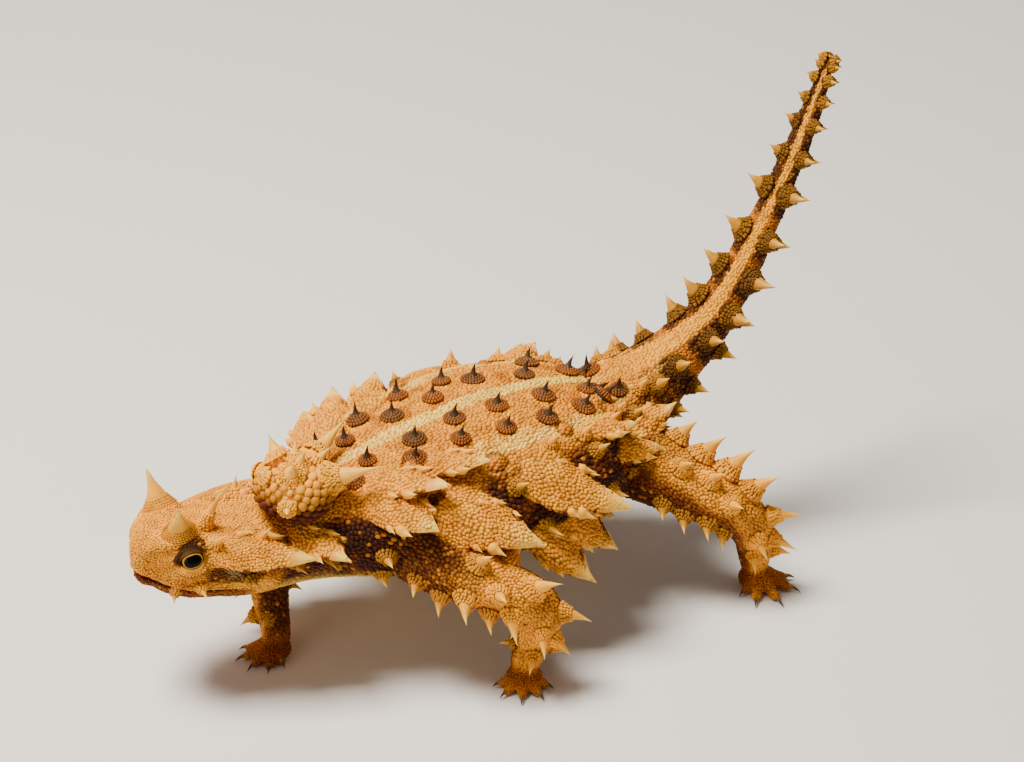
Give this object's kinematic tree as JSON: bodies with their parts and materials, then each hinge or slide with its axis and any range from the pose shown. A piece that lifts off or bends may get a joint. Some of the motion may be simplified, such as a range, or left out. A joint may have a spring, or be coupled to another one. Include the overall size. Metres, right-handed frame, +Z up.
{
  "type": "thorny devil",
  "caption": "Life-size still model of a thorny devil lizard, standing with a spiny knob on its nape, horned brows and its spiny tail raised.",
  "frame": {"origin": "middle of the bounding box's bottom face, on the floor", "axes": "+Z up, -X towards the head, the animal's left side at -Y"},
  "size_m": [0.1344, 0.0718, 0.0842],
  "materials": {
    "hide": "matte",
    "horn": "matte",
    "eye": "gloss"
  },
  "bodies": {
    "root": {"belly": "hide", "chest": "hide", "eye_left": "eye", "eye_right": "eye", "foot_left": "hide", "foot_right": "hide", "forearm_left": "hide", "forearm_right": "hide", "hand_left": "hide", "hand_right": "hide", "head": "hide", "hips": "hide", "horn_left": "horn", "horn_right": "horn", "jaw": "hide", "nape_knob": "hide", "neck": "hide", "shank_left": "hide", "shank_right": "hide", "tail_1": "hide", "tail_2": "hide", "tail_3": "hide", "tail_4": "hide", "thigh_left": "hide", "thigh_right": "hide", "upper_arm_left": "hide", "upper_arm_right": "hide"}
  },
  "joints": []
}
